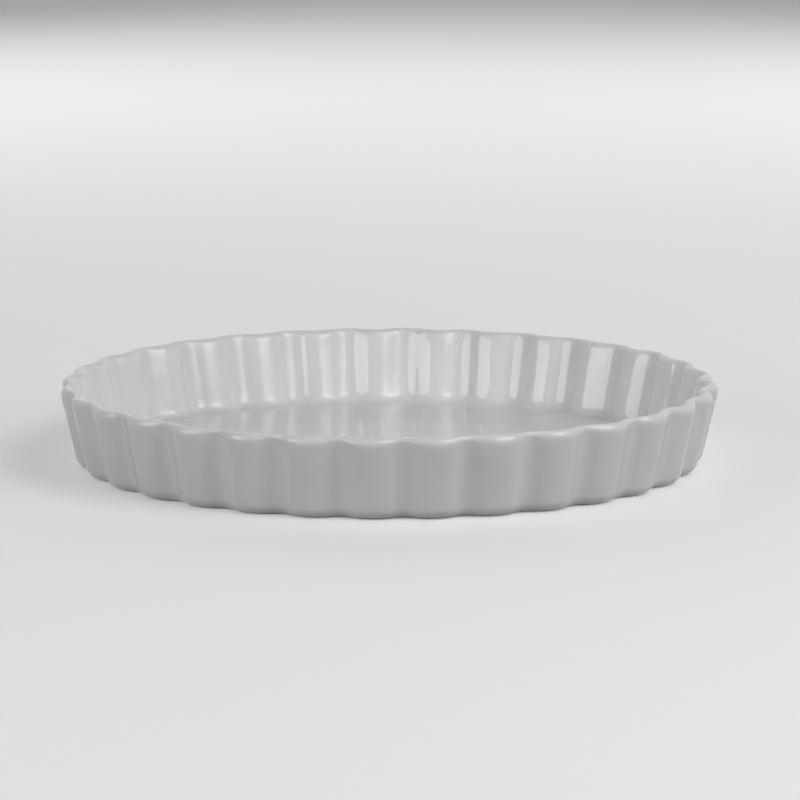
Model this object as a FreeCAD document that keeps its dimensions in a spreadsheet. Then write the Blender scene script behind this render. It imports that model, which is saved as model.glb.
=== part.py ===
import FreeCAD, Part
import math
import os

# A fluted quiche dish: one piece of fired clay, coated with glaze all over but for its foot ring.
# Sizes are in millimetres. The origin is the middle of the foot, on the table, and +Z is up.

document = FreeCAD.newDocument("fluted_quiche_dish")
sheet = document.addObject("Spreadsheet::Sheet", "Sizes")

DRIVING_SIZES = [
    ("dish_height", "37.2", "table to the top of the rim"),
    ("rim_diameter", "296.2", "across opposite lobes, just under the rim's rounding"),
    ("foot_diameter", "283", "across opposite lobes, just above the foot's rounding"),
    ("flute_count", "32", "lobes round the wall"),
    ("flute_depth", "4.1", "crest of a lobe to the bottom of the groove beside it, just under the rim"),
    ("crown_flute_depth", "2.4", "the same on top of the rim, where the flutes are softer"),
    ("lobe_share", "0.6", "radius of a lobe, as a share of a lobe's and a groove's together, outside"),
    ("crown_lobe_share", "0.5", "the same on top of the rim"),
    ("inner_lobe_share", "0.38", "the same on the inside, where a lobe is the narrower of the two"),
    ("rim_wall", "5.8", "wall at the rim with its glaze"),
    ("floor_wall", "6.2", "wall at the table with its glaze"),
    ("floor_height", "4.3", "table to the glazed floor"),
    ("rim_outer_share", "0.66", "rounding of the rim's outer edge, as a share of the rim's wall"),
    ("rim_inner_share", "0.29", "rounding of the rim's inner edge, as a share of the rim's wall"),
    ("foot_round", "5", "rounding of the foot's outer edge"),
    ("floor_round", "3.5", "rounding between the floor and the wall"),
    ("glaze", "0.35", "coat of glaze"),
    ("bare_height", "0.9", "table to the line where the outside glaze is wiped off"),
    ("foot_ring_width", "6", "flat bare ring that the dish stands on, at its narrowest"),
    ("recess_depth", "0.8", "table to the clay of the recess under the floor"),
    ("recess_run", "1.5", "slant of the recess's edge, measured along the table"),
    ("arc_levels", "5", "level lines that shape each rounding"),
    ("wall_levels", "4", "level lines that shape each straight side of the wall"),
]

DERIVED_SIZES = [
    ("rim_outer_round", "=rim_wall * rim_outer_share", "rounding of the rim's outer edge"),
    ("rim_inner_round", "=rim_wall * rim_inner_share", "rounding of the rim's inner edge"),
    ("wall_lean", "=(rim_diameter - foot_diameter) / 2 / (dish_height - rim_outer_round - foot_round)",
     "how far the wall leans out, for each unit of height"),
    ("depth_share", "=flute_depth / (rim_diameter / 2)",
     "depth of the flutes outside, by the crests' radius"),
    ("crown_depth_share", "=crown_flute_depth / (rim_diameter / 2 - rim_outer_round)",
     "depth of the flutes on top of the rim, by the crests' radius"),
    ("inner_depth_share", "=flute_depth / (rim_diameter / 2 - rim_wall)",
     "depth of the flutes inside, by the crests' radius"),
    ("recess_radius",
     "=foot_diameter / 2 - wall_lean * foot_round - flute_depth - glaze - foot_round - foot_ring_width",
     "recess under the floor, at the table"),
    ("panel_radius", "=recess_radius - recess_run * (recess_depth - glaze) / recess_depth",
     "lower edge of the glaze inside the recess"),
]

for row, (name, value, meaning) in enumerate(DRIVING_SIZES + DERIVED_SIZES, start=1):
    sheet.set(f"A{row}", name)
    sheet.set(f"B{row}", value)
    sheet.set(f"C{row}", meaning)
    sheet.setAlias(f"B{row}", name)
document.recompute()

dish_height = float(sheet.dish_height)
flute_count = int(sheet.flute_count)
outside_flutes = (float(sheet.depth_share), float(sheet.lobe_share))
crown_flutes = (float(sheet.crown_depth_share), float(sheet.crown_lobe_share))
inside_flutes = (float(sheet.inner_depth_share), float(sheet.inner_lobe_share))
rim_wall = float(sheet.rim_wall)
floor_wall = float(sheet.floor_wall)
floor_height = float(sheet.floor_height)
rim_outer_round = float(sheet.rim_outer_round)
rim_inner_round = float(sheet.rim_inner_round)
foot_round = float(sheet.foot_round)
floor_round = float(sheet.floor_round)
glaze = float(sheet.glaze)
bare_height = float(sheet.bare_height)
arc_levels = int(sheet.arc_levels)
wall_levels = int(sheet.wall_levels)

quarter_turn = math.pi / 2
half_pitch = math.pi / flute_count


# The wall: a lobe and a groove, again and again

def wall_line(height):
    """Radius of the lobes' crests on the straight outside wall, at a height."""
    return float(sheet.foot_diameter) / 2 + float(sheet.wall_lean) * (height - foot_round)


def wall_thickness(height):
    """Wall with its glaze, which thickens evenly from the rim to the table."""
    return floor_wall + (rim_wall - floor_wall) * height / dish_height


def tangent_span(crest, valley, share):
    """Lobe radius plus groove radius, such that the two arcs run into each other without a corner."""
    groove_share = 1 - share
    turn = math.cos(half_pitch)
    square = 2 * share * groove_share * (turn - 1)
    linear = 2 * (valley * groove_share - crest * share - turn * (crest * groove_share - valley * share))
    constant = crest ** 2 + valley ** 2 - 2 * crest * valley * turn
    return (-linear - math.sqrt(linear ** 2 - 4 * square * constant)) / (2 * square)


def level_line(height, inset, depth_share, share):
    """The fluted outline at a height, with its crests moved in from the outside wall by inset.

    The flutes get shallower in step with the girth, so that each one is a straight, tapering gutter.
    """
    crest = wall_line(height) - inset
    valley = crest * (1 - depth_share)
    span = tangent_span(crest, valley, share)
    lobe_centre = crest - share * span
    groove_centre = valley + span - share * span

    def polar(radius, angle):
        return FreeCAD.Vector(radius * math.cos(angle), radius * math.sin(angle), height)

    def junction(flute, side):
        """Where a lobe's arc runs into the groove on its left (side 1) or right (side -1)."""
        lobe = polar(lobe_centre, 2 * flute * half_pitch)
        groove = polar(groove_centre, (2 * flute + side) * half_pitch)
        return lobe + (groove - lobe) * share

    arcs = []
    for flute in range(flute_count):
        crest_point = polar(crest, 2 * flute * half_pitch)
        valley_point = polar(valley, (2 * flute + 1) * half_pitch)
        arcs.append(Part.Arc(junction(flute, -1), crest_point, junction(flute, 1)).toShape())
        arcs.append(Part.Arc(junction(flute, 1), valley_point, junction(flute + 1, -1)).toShape())
    return Part.Wire(arcs)


# The section of the wall: its roundings' heights, insets and flutes, skin deep below the glazed surface

def between(low, high, share):
    """Values that lie at a share of the way from low's to high's."""
    return [start + (end - start) * share for start, end in zip(low, high)]


def turns(start, end):
    """Angles along a rounding, evenly spaced, both ends included."""
    return [start + (end - start) * step / (arc_levels - 1) for step in range(arc_levels)]


def foot_edge(skin, start, end):
    return [(foot_round * (1 - math.cos(turn)), skin + foot_round * (1 - math.sin(turn)), *outside_flutes)
            for turn in turns(start, end)]


def rim_outer_edge(skin):
    return [(dish_height - rim_outer_round + (rim_outer_round - skin) * math.sin(turn),
             rim_outer_round - (rim_outer_round - skin) * math.cos(turn),
             *between(outside_flutes, crown_flutes, 1 - math.cos(turn)))
            for turn in turns(0, quarter_turn)]


def rim_inner_edge(skin):
    return [(dish_height - rim_inner_round + (rim_inner_round - skin) * math.sin(turn),
             rim_wall - rim_inner_round + (rim_inner_round - skin) * math.cos(turn),
             *between(inside_flutes, crown_flutes, 1 - math.cos(turn)))
            for turn in turns(0, quarter_turn)]


def floor_edge(skin):
    centre_height = floor_height + floor_round
    centre_inset = wall_thickness(centre_height) + floor_round
    return [(centre_height - (floor_round + skin) * math.cos(turn),
             centre_inset - (floor_round + skin) * math.sin(turn),
             *inside_flutes)
            for turn in turns(0, quarter_turn)]


bare_turn = math.acos(1 - bare_height / foot_round)


# Faces and solids

def rounding_faces(levels):
    return Part.makeLoft([level_line(*level) for level in levels], False, False).Faces


def straight_faces(low, high):
    levels = [between(low, high, step / (wall_levels - 1)) for step in range(wall_levels)]
    return Part.makeLoft([level_line(*level) for level in levels], False, True).Faces


def flat_face(*levels):
    """A level face inside the first outline, with the other outlines as its holes."""
    return Part.makeFace([level_line(*level) for level in levels], "Part::FaceMakerBullseye")


def dish_skin(skin):
    """From the bare foot's upper edge, up the outside, over the rim and down to the whole floor."""
    outside = foot_edge(skin, bare_turn, quarter_turn)
    rim_outside = rim_outer_edge(skin)
    rim_inside = rim_inner_edge(skin)
    inside = floor_edge(skin)
    faces = rounding_faces(outside)
    faces += straight_faces(outside[-1], rim_outside[0])
    faces += rounding_faces(rim_outside)
    faces.append(flat_face(rim_outside[-1], rim_inside[-1]))
    faces += rounding_faces(rim_inside)
    faces += straight_faces(inside[-1], rim_inside[0])
    faces += rounding_faces(inside)
    faces.append(flat_face(inside[0]))
    return faces


def solid_of(faces):
    sewn = Part.Compound(faces)
    sewn.sewShape()
    solid = Part.Solid(sewn.Shells[0])
    if solid.Volume < 0:
        solid.reverse()
    return solid


clay_skin = dish_skin(glaze)

# The fired clay, cut under its floor so that it stands on a ring

bare_edge = foot_edge(glaze, 0, bare_turn)
clay_blank = document.addObject("Part::Feature", "clay_blank")
clay_blank.Shape = solid_of(clay_skin + rounding_faces(bare_edge) + [flat_face(bare_edge[0])])

recess = document.addObject("Part::Cone", "recess")
recess.setExpression("Radius1", "Sizes.recess_radius")
recess.setExpression("Radius2", "Sizes.recess_radius - Sizes.recess_run")
recess.setExpression("Height", "Sizes.recess_depth")

porcelain_body = document.addObject("Part::Cut", "porcelain_body")
porcelain_body.Label = "porcelain_body"
porcelain_body.Base = clay_blank
porcelain_body.Tool = recess

# The glaze that wraps the clay inside and out, and ends in a thin ledge above the foot

glaze_edge = flat_face(foot_edge(0, bare_turn, quarter_turn)[0], bare_edge[-1])
glaze_coat = document.addObject("Part::Feature", "glaze_coat")
glaze_coat.Label = "glaze_coat"
glaze_coat.Shape = solid_of(dish_skin(0) + clay_skin + [glaze_edge])

# The glaze under the floor, inside the bare ring

underside_glaze = document.addObject("Part::Cone", "underside_glaze")
underside_glaze.Label = "underside_glaze"
underside_glaze.setExpression("Radius1", "Sizes.panel_radius")
underside_glaze.setExpression("Radius2", "Sizes.recess_radius - Sizes.recess_run")
underside_glaze.setExpression("Height", "Sizes.glaze")
underside_glaze.setExpression("Placement.Base.z", "Sizes.recess_depth - Sizes.glaze")

document.recompute()

for item in document.Objects:
    if "Invalid" in item.State or "Error" in item.State:
        raise RuntimeError(f"{item.Name} could not be built: {item.State}")

SUB_PARTS = [porcelain_body, glaze_coat, underside_glaze]
for piece in SUB_PARTS:
    if piece.Shape.isNull() or not piece.Shape.isValid():
        raise RuntimeError(f"{piece.Label} has no valid shape")
    if len(piece.Shape.Solids) != 1:
        raise RuntimeError(f"{piece.Label} is not one solid")

os.makedirs("parts", exist_ok=True)
for piece in SUB_PARTS:
    piece.Shape.exportStep(f"parts/{piece.Label}.step")
    print(f"{piece.Label}: {piece.Shape.Volume:.1f} cubic mm, {len(piece.Shape.Faces)} faces")
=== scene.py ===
import math
from collections import namedtuple

import bmesh
import bpy
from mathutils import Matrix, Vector


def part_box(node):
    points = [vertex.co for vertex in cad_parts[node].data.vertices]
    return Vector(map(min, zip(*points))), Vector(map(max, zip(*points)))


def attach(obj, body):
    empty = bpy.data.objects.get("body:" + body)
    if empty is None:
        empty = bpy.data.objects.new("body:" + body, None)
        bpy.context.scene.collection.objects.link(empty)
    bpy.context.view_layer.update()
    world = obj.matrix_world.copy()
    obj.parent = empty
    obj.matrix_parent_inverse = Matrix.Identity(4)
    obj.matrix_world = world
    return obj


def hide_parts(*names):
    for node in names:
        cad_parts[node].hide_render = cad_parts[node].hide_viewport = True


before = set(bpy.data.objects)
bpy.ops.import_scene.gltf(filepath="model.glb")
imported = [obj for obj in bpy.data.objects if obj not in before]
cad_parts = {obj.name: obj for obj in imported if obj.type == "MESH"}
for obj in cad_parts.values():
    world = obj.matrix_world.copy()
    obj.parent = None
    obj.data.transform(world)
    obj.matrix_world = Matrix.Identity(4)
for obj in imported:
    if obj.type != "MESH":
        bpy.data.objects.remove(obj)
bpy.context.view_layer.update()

# The clay body
# White clay pressed over a fluted mould in one piece, trimmed at the rim and fired hard. The glaze hides all
# of it but the ring that the dish stands on, which is wiped bare so that it doesn't stick in the kiln.

dish_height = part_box("glaze_coat")[1][2]
rim_diameter = 0.2962
foot_diameter = 0.283
flute_count = 32
flute_depth = 0.0041
crown_flute_depth = 0.0024
rim_wall = 0.0058
floor_wall = 0.0062
floor_height = 0.0043
rim_outer_round = 0.66 * rim_wall
rim_inner_round = 0.29 * rim_wall
foot_round = 0.005
floor_round = 0.0035
glaze = 0.00035
bare_height = 0.0009
foot_ring_width = 0.006
recess_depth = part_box("underside_glaze")[1][2]
recess_run = 0.0015

quarter_turn = math.pi / 2
half_pitch = math.pi / flute_count
wall_lean = (rim_diameter - foot_diameter) / 2 / (dish_height - rim_outer_round - foot_round)
bare_turn = math.acos(1 - bare_height / foot_round)
foot_inset = wall_lean * foot_round + flute_depth + glaze + foot_round
recess_radius = foot_diameter / 2 - foot_inset - foot_ring_width
recess_floor_radius = recess_radius - recess_run

# The rim's outer edge is worn low on the lobes and stays crisp in the grooves between them, and its inner
# edge falls a little further than it runs.
lobe_rim_drop = 0.005
groove_rim_drop = 0.0026
inner_rim_drop = 0.0023

# The flutes' depth as a share of the crests' radius, a lobe's radius as a share of a lobe's and a groove's
# together, and the side of the wall. The wall is as thick in a groove as on a lobe, and its top is smoother.
Flutes = namedtuple("Flutes", "depth_share lobe_share outside")
rim_radius = rim_diameter / 2
outside_flutes = Flutes(depth_share=flute_depth / rim_radius, lobe_share=0.6, outside=1.0)
crown_flutes = Flutes(depth_share=crown_flute_depth / (rim_radius - rim_outer_round), lobe_share=0.5,
                      outside=0.5)
inside_flutes = Flutes(depth_share=flute_depth / (rim_radius - rim_wall), lobe_share=0.38, outside=0.0)

# One level of a turned piece: a ring that swings between its lobes' crests and its grooves' valleys in two
# arcs, which meet where a lobe has turned through its bend. It rises by so much at the grooves, is drawn in
# towards the axis by its reach, and is fluted or plain. Then the glaze that pools there, the side of the wall
# it is on, and how far hand work shows in it.
Level = namedtuple("Level", "height crest valley lobe_radius groove_radius bend rise reach fluted pool"
                            " outside uneven")


def wall_line(height):
    """Radius of the lobes' crests on the straight outside wall."""
    return foot_diameter / 2 + wall_lean * (height - foot_round)


def wall_thickness(height):
    """Wall with its glaze, which thickens evenly from the rim to the table."""
    return floor_wall + (rim_wall - floor_wall) * height / dish_height


def tangent_span(crest, valley, share):
    """Lobe radius plus groove radius, such that the two arcs run into each other without a corner."""
    groove_share = 1 - share
    turn = math.cos(half_pitch)
    square = 2 * share * groove_share * (turn - 1)
    linear = 2 * (valley * groove_share - crest * share - turn * (crest * groove_share - valley * share))
    constant = crest ** 2 + valley ** 2 - 2 * crest * valley * turn
    return (-linear - math.sqrt(linear ** 2 - 4 * square * constant)) / (2 * square)


def fluted_level(height, inset, depth_share, lobe_share, outside, rise=0.0, reach=1.0, pool=0.0, uneven=1.0):
    """A level of the wall, with its crests moved in from the outside wall by inset."""
    crest = wall_line(height) - inset
    valley = (crest + wall_lean * rise) * (1 - depth_share)
    span = tangent_span(crest, valley, lobe_share)
    lobe_radius = lobe_share * span
    groove_radius = span - lobe_radius
    groove_centre = valley + groove_radius
    bend = math.atan2(groove_centre * math.sin(half_pitch),
                      groove_centre * math.cos(half_pitch) - crest + lobe_radius)
    return Level(height, crest, valley, lobe_radius, groove_radius, bend, rise, reach, 1.0, pool, outside,
                 uneven)


def foot_level(skin, turn):
    """A level of the round foot. Hand work dies away down to the table, where the turn is zero."""
    return fluted_level(foot_round * (1 - math.cos(turn)), skin + foot_round * (1 - math.sin(turn)),
                        *outside_flutes, uneven=math.sin(turn))


def plain_level(height, radius):
    """A plain round level, free of pooled glaze and of hand work."""
    return Level(height, radius, radius, 0.0, 0.0, 0.0, 0.0, 1.0, 0.0, 0.0, 1.0, 0.0)


def spread(start, end, count):
    """Evenly spaced values from start to end, both included."""
    return [start + (end - start) * step / count for step in range(count + 1)]


def between(low, high, share):
    """The point that lies at a share of the way from one point of the section to another."""
    return [start + (end - start) * share for start, end in zip(low, high)]


# Hand work and pooled glaze die away from the edge of the floor to its middle as these powers of the radius.
uneven_power = 6
pool_power = 12

floor_rings = 12
wall_steps = 10


def dish_surface(skin, rounding_steps):
    """From the middle of the floor, up the inside, over the rim and down the outside to the bare foot."""
    bend_height = floor_height + floor_round
    bend_inset = wall_thickness(bend_height) + floor_round
    bend = floor_round + skin
    roundings = spread(0, quarter_turn, rounding_steps)
    wall_shares = spread(0, 1, wall_steps)[1:-1]
    levels = [fluted_level(floor_height - skin, bend_inset, *inside_flutes, reach=reach,
                           pool=reach ** pool_power, uneven=reach ** uneven_power)
              for reach in spread(0, 1, floor_rings)[:-1]]
    levels += [fluted_level(bend_height - bend * math.cos(turn), bend_inset - bend * math.sin(turn),
                            *inside_flutes, pool=math.cos(turn)) for turn in roundings]
    wall_foot = (bend_height, bend_inset - bend, *inside_flutes)
    wall_top = (dish_height - inner_rim_drop, rim_wall - skin, *inside_flutes)
    levels += [fluted_level(*between(wall_foot, wall_top, share)) for share in wall_shares]
    levels += [fluted_level(dish_height - inner_rim_drop + (inner_rim_drop - skin) * math.sin(turn),
                            rim_wall - rim_inner_round + (rim_inner_round - skin) * math.cos(turn),
                            *between(inside_flutes, crown_flutes, 1 - math.cos(turn)),
                            pool=-math.sin(turn)) for turn in roundings]
    rim_rise = lobe_rim_drop - groove_rim_drop
    levels += [fluted_level(dish_height - lobe_rim_drop + (lobe_rim_drop - skin) * math.sin(turn),
                            rim_outer_round - (rim_outer_round - skin) * math.cos(turn),
                            *between(outside_flutes, crown_flutes, 1 - math.cos(turn)),
                            rise=rim_rise * (1 - math.sin(turn)), pool=-math.sin(turn))
               for turn in reversed(roundings)]
    outer_top = (dish_height - lobe_rim_drop, skin, *outside_flutes, rim_rise)
    outer_foot = (foot_round, skin, *outside_flutes, 0)
    levels += [fluted_level(*between(outer_top, outer_foot, share)) for share in wall_shares]
    levels += [foot_level(skin, turn) for turn in spread(quarter_turn, bare_turn, rounding_steps)]
    return levels


class Wire:
    """A node's output that takes part in sums. Wire(tree), with no output, only adds nodes to its tree."""

    def __init__(self, tree, socket=None):
        self.tree = tree
        self.socket = socket

    def node(self, kind, settings, inputs, output=0):
        """Add a node: its settings first, then a value or a wire for each socket, by name or number."""
        node = self.tree.nodes.new(kind)
        for name, value in settings.items():
            setattr(node, name, value)
        for key, value in inputs.items():
            if isinstance(value, Wire):
                self.tree.links.new(value.socket, node.inputs[key])
            else:
                node.inputs[key].default_value = value
        return Wire(self.tree, node.outputs[output] if node.outputs else None)

    def maths(self, operation, *values):
        return self.node("ShaderNodeMath", {"operation": operation}, dict(enumerate(values)))

    def __add__(self, other):
        return self.maths("ADD", self, other)

    def __radd__(self, other):
        return self.maths("ADD", other, self)

    def __sub__(self, other):
        return self.maths("SUBTRACT", self, other)

    def __rsub__(self, other):
        return self.maths("SUBTRACT", other, self)

    def __mul__(self, other):
        return self.maths("MULTIPLY", self, other)

    def __rmul__(self, other):
        return self.maths("MULTIPLY", other, self)

    def __truediv__(self, other):
        return self.maths("DIVIDE", self, other)

    def __rtruediv__(self, other):
        return self.maths("DIVIDE", other, self)

    def __lt__(self, other):
        return self.maths("LESS_THAN", self, other)


def fluting_tree():
    """Turns a section round the axis and presses the flutes into it: lobes and grooves, each a round arc that
    runs into the next without a corner."""
    tree = bpy.data.node_groups.new("fluted_turning", "GeometryNodeTree")
    tree.interface.new_socket("Section", in_out="INPUT", socket_type="NodeSocketGeometry")
    for name, kind in (("Flutes", "Int"), ("Steps per flute", "Int"), ("Unevenness", "Float"),
                       ("Unevenness scale", "Float"), ("Seed", "Float"), ("Material", "Material")):
        tree.interface.new_socket(name, in_out="INPUT", socket_type=f"NodeSocket{kind}")
    tree.interface.new_socket("Piece", in_out="OUTPUT", socket_type="NodeSocketGeometry")
    group = tree.nodes.new("NodeGroupInput")
    wire = Wire(tree)

    def given(name):
        return Wire(tree, group.outputs[name])

    def level(name):
        return wire.node("GeometryNodeInputNamedAttribute", {"data_type": "FLOAT"}, {"Name": name})

    index = wire.node("GeometryNodeInputIndex", {}, {})
    circle = wire.node("GeometryNodeCurvePrimitiveCircle", {"mode": "RADIUS"},
                       {"Resolution": given("Flutes") * given("Steps per flute")})
    circle = wire.node("GeometryNodeStoreNamedAttribute", {"data_type": "FLOAT", "domain": "POINT"},
                       {"Geometry": circle, "Name": "flute", "Value": index / given("Steps per flute")})
    section = wire.node("GeometryNodeMeshToCurve", {}, {"Mesh": given("Section")})
    blank = wire.node("GeometryNodeCurveToMesh", {}, {"Curve": circle, "Profile Curve": section})

    pitch = math.tau / given("Flutes")
    flute = level("flute")
    nearest = wire.maths("ROUND", flute)
    across = (flute - nearest) * 2
    side = wire.maths("SIGN", across)
    off_crest = wire.maths("ABSOLUTE", across)
    on_lobe = off_crest < 0.5
    groove = 0.5 - 0.5 * wire.maths("COSINE", off_crest * math.pi)
    crest = level("crest")
    bend = level("bend")

    lobe_radius = level("lobe_radius")
    lobe_angle = across * 2 * bend
    lobe_out = crest - lobe_radius * (1 - wire.maths("COSINE", lobe_angle))
    lobe_across = lobe_radius * wire.maths("SINE", lobe_angle)

    groove_radius = level("groove_radius")
    groove_angle = (1 - off_crest) * 2 * (bend - pitch / 2)
    groove_out = level("valley") + groove_radius * (1 - wire.maths("COSINE", groove_angle))
    groove_across = side * groove_radius * wire.maths("SINE", groove_angle) * -1

    out = on_lobe * lobe_out + (1 - on_lobe) * groove_out
    over = on_lobe * lobe_across + (1 - on_lobe) * groove_across
    axis = (nearest + (1 - on_lobe) * side * 0.5) * pitch
    cosine = wire.maths("COSINE", axis)
    sine = wire.maths("SINE", axis)
    turn = flute * pitch
    fluted = level("fluted")
    reach = level("reach")
    place_x = fluted * (out * cosine - over * sine) + (1 - fluted) * crest * wire.maths("COSINE", turn)
    place_y = fluted * (out * sine + over * cosine) + (1 - fluted) * crest * wire.maths("SINE", turn)
    place_z = level("height") + groove * level("rise")
    place = wire.node("ShaderNodeCombineXYZ", {}, {0: place_x * reach, 1: place_y * reach, 2: place_z})
    pressed = wire.node("GeometryNodeSetPosition", {}, {"Geometry": blank, "Position": place})
    pressed = wire.node("GeometryNodeMergeByDistance", {}, {"Geometry": pressed, "Distance": weld_gap})

    outside = level("outside")
    hollow = outside * groove + (1 - outside) * (1 - groove)
    pooled = level("pool") + hollow_pool * fluted * hollow * wire.maths("POWER", reach, pool_power)
    pressed = wire.node("GeometryNodeStoreNamedAttribute", {"data_type": "FLOAT", "domain": "POINT"},
                        {"Geometry": pressed, "Name": "pooling", "Value": pooled})

    uneven = wire.node("ShaderNodeTexNoise", {"noise_dimensions": "4D"},
                       {"W": given("Seed"), "Scale": given("Unevenness scale"), "Detail": 1.0})
    normal = wire.node("GeometryNodeInputNormal", {}, {})
    push = wire.node("ShaderNodeVectorMath", {"operation": "SCALE"},
                     {0: normal, 3: (uneven - noise_peak) * level("uneven") * given("Unevenness")})
    shaped = wire.node("GeometryNodeSetPosition", {}, {"Geometry": pressed, "Offset": push})
    whole = wire.node("GeometryNodeRealizeInstances", {}, {"Geometry": shaped})
    dressed = wire.node("GeometryNodeSetMaterial", {}, {"Geometry": whole, "Material": given("Material")})
    wire.node("NodeGroupOutput", {}, {"Piece": dressed})
    return tree


flute_steps = 24
crease_angle = math.radians(40)
weld_gap = 1e-7
hollow_pool = 0.5

# Hand work only takes clay away: its noise seldom passes this peak, where the wall has its full size.
noise_peak = 0.8
hand_work = 0.0009
hand_work_scale = 52.0
hand_work_seed = 3.0
fluting = fluting_tree()


def turned_piece(name, levels, material, unevenness):
    """A closed piece turned from its levels, which run from the axis to the axis."""
    section = bpy.data.meshes.new(name)
    edges = [(point, point + 1) for point in range(len(levels) - 1)]
    section.from_pydata([(level.crest, 0, level.height) for level in levels], edges, [])
    for field in Level._fields:
        values = section.attributes.new(field, "FLOAT", "POINT")
        values.data.foreach_set("value", [getattr(level, field) for level in levels])
    piece = bpy.data.objects.new(name, section)
    bpy.context.scene.collection.objects.link(piece)
    modifier = piece.modifiers.new("fluting", "NODES")
    modifier.node_group = fluting
    sizes = {"Flutes": flute_count, "Steps per flute": flute_steps, "Unevenness": unevenness,
             "Unevenness scale": hand_work_scale, "Seed": hand_work_seed, "Material": material}
    for item in fluting.interface.items_tree:
        if item.name in sizes:
            modifier[item.identifier] = sizes[item.name]
    evaluated = piece.evaluated_get(bpy.context.evaluated_depsgraph_get())
    mesh = bpy.data.meshes.new_from_object(evaluated)
    piece.modifiers.clear()
    piece.data = mesh
    for field in Level._fields + ("flute",):
        if field in mesh.attributes:
            mesh.attributes.remove(mesh.attributes[field])
    shape = bmesh.new()
    shape.from_mesh(mesh)
    bmesh.ops.recalc_face_normals(shape, faces=shape.faces)
    shape.to_mesh(mesh)
    shape.free()
    mesh.shade_smooth()
    mesh.set_sharp_from_angle(angle=crease_angle)
    return piece


def new_material(name):
    """An empty material of that name, and a wire that adds nodes to it."""
    material = bpy.data.materials.new(name)
    material.use_nodes = True
    material.node_tree.nodes.clear()
    return material, Wire(material.node_tree)


def bare_clay():
    """Fine-grained fired clay, rubbed dark in places where the dish has been slid over a table."""
    material, wire = new_material("bare_clay")
    place = wire.node("ShaderNodeTexCoord", {}, {}, "Object")
    grain = wire.node("ShaderNodeTexNoise", {}, {"Vector": place, "Scale": 2600.0, "Detail": 3.0})
    drift = wire.node("ShaderNodeTexNoise", {}, {"Vector": place, "Scale": 55.0, "Detail": 4.0})
    scuff = wire.node("ShaderNodeMapRange", {"interpolation_type": "SMOOTHSTEP"},
                      {"Value": drift, "From Min": 0.5, "From Max": 0.72})
    tone = grain * 0.5 + drift * 0.5
    dull, bright, rubbed = (0.66, 0.63, 0.58, 1), (0.84, 0.81, 0.76, 1), (0.42, 0.40, 0.37, 1)
    clay = wire.node("ShaderNodeMix", {"data_type": "RGBA"}, {0: tone, 6: dull, 7: bright}, 2)
    worn = wire.node("ShaderNodeMix", {"data_type": "RGBA"}, {0: scuff * 0.45, 6: clay, 7: rubbed}, 2)
    tooth = wire.node("ShaderNodeBump", {}, {"Strength": 0.6, "Distance": 0.00012, "Height": grain})
    shader = wire.node("ShaderNodeBsdfPrincipled", {},
                       {"Base Color": worn, "Roughness": 0.72 + 0.2 * grain, "Normal": tooth})
    wire.node("ShaderNodeOutputMaterial", {}, {"Surface": shader})
    return material


foot_steps = 5
recess_rings = 6
clay_surface = dish_surface(glaze, rounding_steps=6)
foot_arc = [foot_level(glaze, turn) for turn in spread(bare_turn, 0, foot_steps)[1:]]
foot_ring = [plain_level(0, recess_radius)]
recess_floor = [plain_level(recess_depth, recess_floor_radius * share)
                for share in spread(1, 0, recess_rings)]
porcelain_body = turned_piece("porcelain_body_clay", clay_surface + foot_arc + foot_ring + recess_floor,
                              bare_clay(), hand_work)
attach(porcelain_body, "root")
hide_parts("porcelain_body")

# The glaze coat
# A clear glass over the white clay, poured inside and out and melted in a second firing. It runs off sharp
# edges, settles in the hollows of the flutes and along the edge of the floor, and ends in a line at the foot.


def glass_glaze(name, thin, pooled):
    """Glossy white glass, a little greyer where it pools, with faint ripple and a few dark specks."""
    material, wire = new_material(name)
    place = wire.node("ShaderNodeTexCoord", {}, {}, "Object")
    pooling = wire.node("ShaderNodeAttribute", {"attribute_name": "pooling"}, {}, "Fac")
    drift = wire.node("ShaderNodeTexNoise", {}, {"Vector": place, "Scale": 26.0, "Detail": 3.0})
    depth = wire.node("ShaderNodeMapRange", {"interpolation_type": "SMOOTHSTEP"},
                      {"Value": pooling + 0.5 * drift, "From Min": -0.6, "From Max": 1.6})
    glass = wire.node("ShaderNodeMix", {"data_type": "RGBA"}, {0: depth, 6: thin, 7: pooled}, 2)
    spots = wire.node("ShaderNodeTexVoronoi", {}, {"Vector": place, "Scale": 60.0}, "Distance")
    speck = wire.node("ShaderNodeMapRange", {"interpolation_type": "SMOOTHSTEP"},
                      {"Value": spots, "From Min": 0.012, "From Max": 0.02, "To Min": 1.0, "To Max": 0.0})
    ash = (0.36, 0.33, 0.29, 1)
    marked = wire.node("ShaderNodeMix", {"data_type": "RGBA"}, {0: speck * 0.2, 6: glass, 7: ash}, 2)
    peel = wire.node("ShaderNodeTexNoise", {}, {"Vector": place, "Scale": 300.0, "Detail": 1.5})
    ripple = wire.node("ShaderNodeBump", {}, {"Strength": 1.0, "Distance": 0.000007, "Height": peel})
    shader = wire.node("ShaderNodeBsdfPrincipled", {},
                       {"Base Color": marked, "Roughness": 0.015 + 0.03 * drift + 0.2 * speck,
                        "IOR": 1.52, "Normal": ripple})
    wire.node("ShaderNodeOutputMaterial", {}, {"Surface": shader})
    return material


# The coat's back is the clay's own surface, turned over, so hand work moves both the same way.
coat = dish_surface(0.0, rounding_steps=8)
coat += [level._replace(uneven=-level.uneven) for level in reversed(clay_surface)]
thin_white = (0.83, 0.83, 0.83, 1)
pooled_white = (0.79, 0.79, 0.79, 1)
glaze_coat = turned_piece("glaze_coat_glass", coat, glass_glaze("dish_glaze", thin_white, pooled_white),
                          hand_work)
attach(glaze_coat, "root")
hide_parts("glaze_coat")

# The glaze under the floor
# The same glass, brushed inside the foot ring. It lines the shallow recess under the floor, clear of the
# table, and stops short of the bare ring.

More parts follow.
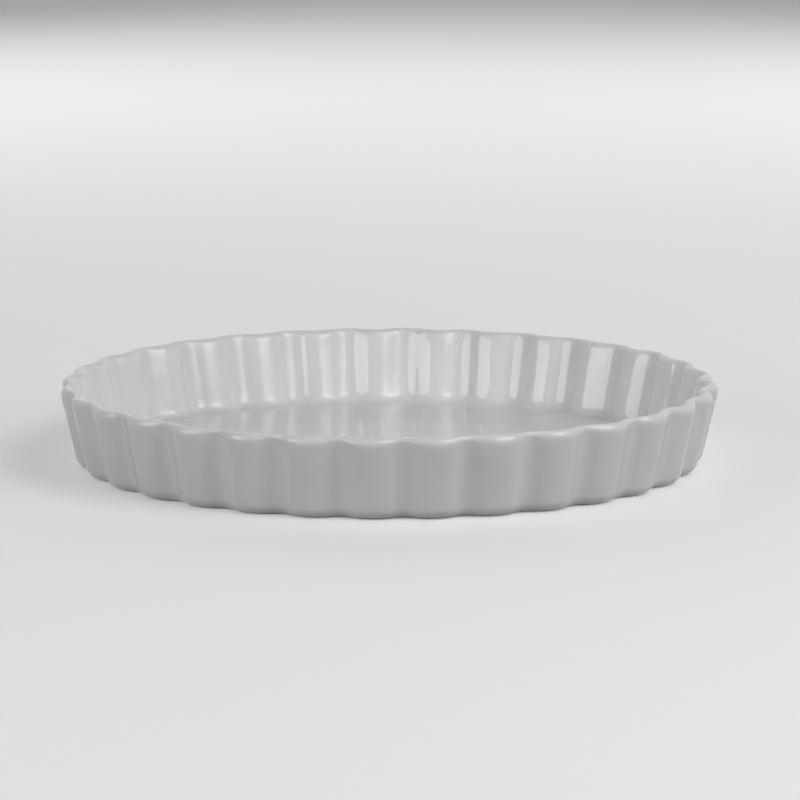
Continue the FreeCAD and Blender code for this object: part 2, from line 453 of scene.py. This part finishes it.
panel_rings = 16
panel_radius = recess_radius - recess_run * (recess_depth - glaze) / recess_depth
panel = [plain_level(recess_depth, recess_floor_radius * share) for share in spread(0, 1, recess_rings)]
panel += [plain_level(recess_depth - glaze, panel_radius * share) for share in spread(1, 0, panel_rings)]
underside_glaze = turned_piece("underside_glaze_glass", panel,
                               glass_glaze("underside_glaze", thin_white, pooled_white), 0.0)
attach(underside_glaze, "root")
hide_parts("underside_glaze")

# The table top, the studio lamps and the camera
# A plain pale sheet of matt board. Large lamps with soft edges stand at the right and behind. Two with sharp
# edges stand at the left, which draw the bright strips on the flutes and the small lights on the rim.

floor_size = 14.0
floor_mesh = bpy.data.meshes.new("table_top")
corner = floor_size / 2
floor_mesh.from_pydata([(-corner, -corner, 0), (corner, -corner, 0), (corner, corner, 0),
                        (-corner, corner, 0)], [], [(0, 1, 2, 3)])
table_top = bpy.data.objects.new("table_top", floor_mesh)
bpy.context.scene.collection.objects.link(table_top)
board, wire = new_material("pale_board")


def seen_rays(wire):
    """1 for what the camera sees, straight, in a gloss or through glass, and 0 for light on other things."""
    rays = wire.node("ShaderNodeLightPath", {}, {}).socket.node.outputs
    straight, gloss, through = (Wire(wire.tree, rays[f"Is {kind} Ray"])
                                for kind in ("Camera", "Glossy", "Transmission"))
    return wire.maths("MAXIMUM", wire.maths("MAXIMUM", straight, gloss), through)


board_bounce = (0.35, 0.35, 0.35, 1)
board_tone = (0.74, 0.74, 0.74, 1)
board_lift = (0.28, 0.28, 0.28, 1)
black = (0, 0, 0, 1)
seen = seen_rays(wire)
tone = wire.node("ShaderNodeMix", {"data_type": "RGBA"}, {0: seen, 6: board_bounce, 7: board_tone}, 2)
lift = wire.node("ShaderNodeMix", {"data_type": "RGBA"}, {0: seen, 6: black, 7: board_lift}, 2)
shader = wire.node("ShaderNodeBsdfPrincipled", {},
                   {"Base Color": tone, "Roughness": 0.9, "Specular IOR Level": 0.1,
                    "Emission Color": lift, "Emission Strength": 1.0})
wire.node("ShaderNodeOutputMaterial", {}, {"Surface": shader})
table_top.data.materials.append(board)

backdrop = 0.75
world = bpy.data.worlds.new("studio")
world.use_nodes = True
world.node_tree.nodes.clear()
wire = Wire(world.node_tree)
studio = wire.node("ShaderNodeBackground", {},
                   {"Color": (1, 1, 1, 1), "Strength": seen_rays(wire) * backdrop})
wire.node("ShaderNodeOutputWorld", {}, {"Surface": studio})
bpy.context.scene.world = world

view_turn = math.radians(3.15)


def softbox(name, azimuth, elevation, distance, width, height, radiance, fade):
    """A rectangular lamp that faces the dish, placed by its turn to the right of the camera. It fades to its
    edges over a share of its half width and height."""
    around = math.radians(azimuth) + view_turn
    up = math.radians(elevation)
    lamp = bpy.data.lights.new(name, "AREA")
    lamp.shape = "RECTANGLE"
    lamp.size = width
    lamp.size_y = height
    lamp.energy = radiance * math.pi * width * height
    lamp.use_nodes = True
    lamp.node_tree.nodes.clear()
    wire = Wire(lamp.node_tree)
    spot = wire.node("ShaderNodeNewGeometry", {}, {}, "Parametric")
    glow = 1.0
    for axis in wire.node("ShaderNodeSeparateXYZ", {}, {0: spot}).socket.node.outputs[:2]:
        off_centre = wire.maths("ABSOLUTE", Wire(lamp.node_tree, axis) * 2 - 1)
        glow *= wire.node("ShaderNodeMapRange", {"interpolation_type": "SMOOTHSTEP"},
                          {"Value": off_centre, "From Min": 1 - fade, "From Max": 1.0, "To Min": 1.0,
                           "To Max": 0.0})
    lit = wire.node("ShaderNodeEmission", {}, {"Strength": glow})
    wire.node("ShaderNodeOutputLight", {}, {"Surface": lit})
    holder = bpy.data.objects.new(name, lamp)
    bpy.context.scene.collection.objects.link(holder)
    away = Vector((math.sin(around) * math.cos(up), -math.cos(around) * math.cos(up), math.sin(up)))
    holder.location = away * distance
    holder.rotation_euler = away.to_track_quat("Z", "Y").to_euler()
    return holder


softbox("right_lamp", azimuth=48, elevation=34, distance=1.8, width=1.8, height=1.6, radiance=3.5, fade=0.6)
softbox("far_right_lamp", azimuth=75, elevation=50, distance=1.8, width=1.2, height=1.1, radiance=1.7,
        fade=0.5)
softbox("left_lamp", azimuth=-52, elevation=14, distance=1.6, width=1.5, height=0.45, radiance=3.0, fade=0.08)
softbox("upper_left_lamp", azimuth=-58, elevation=29, distance=1.6, width=0.6, height=0.3, radiance=5.0,
        fade=0.08)

# The two behind fill the shaded side and stay out of the gloss, so that they leave no lights on the rim.
for name, azimuth in (("back_left_lamp", -155), ("back_right_lamp", 150)):
    fill = softbox(name, azimuth, elevation=22, distance=1.8, width=1.6, height=0.9, radiance=2.6, fade=0.5)
    fill.visible_glossy = False

photo_width = 800
focal_pixels = 5321.7
foot_centre_pixel = (389.0, 460.6)
view_distance = 2.4
view_elevation = math.radians(10.66)
camera = bpy.data.objects.new("camera", bpy.data.cameras.new("camera"))
bpy.context.scene.collection.objects.link(camera)
camera.data.lens = camera.data.sensor_width * focal_pixels / photo_width
towards_camera = Vector((math.sin(view_turn) * math.cos(view_elevation),
                         -math.cos(view_turn) * math.cos(view_elevation), math.sin(view_elevation)))
camera_right = Vector((math.cos(view_turn), math.sin(view_turn), 0))
camera_up = towards_camera.cross(camera_right)
pixel = view_distance / focal_pixels
aim = (camera_right * (photo_width / 2 - foot_centre_pixel[0])
       + camera_up * (foot_centre_pixel[1] - photo_width / 2)) * pixel
camera.location = towards_camera * view_distance
camera.rotation_euler = (camera.location - aim).to_track_quat("Z", "Y").to_euler()
bpy.context.scene.camera = camera
bpy.context.scene.view_settings.view_transform = "Standard"
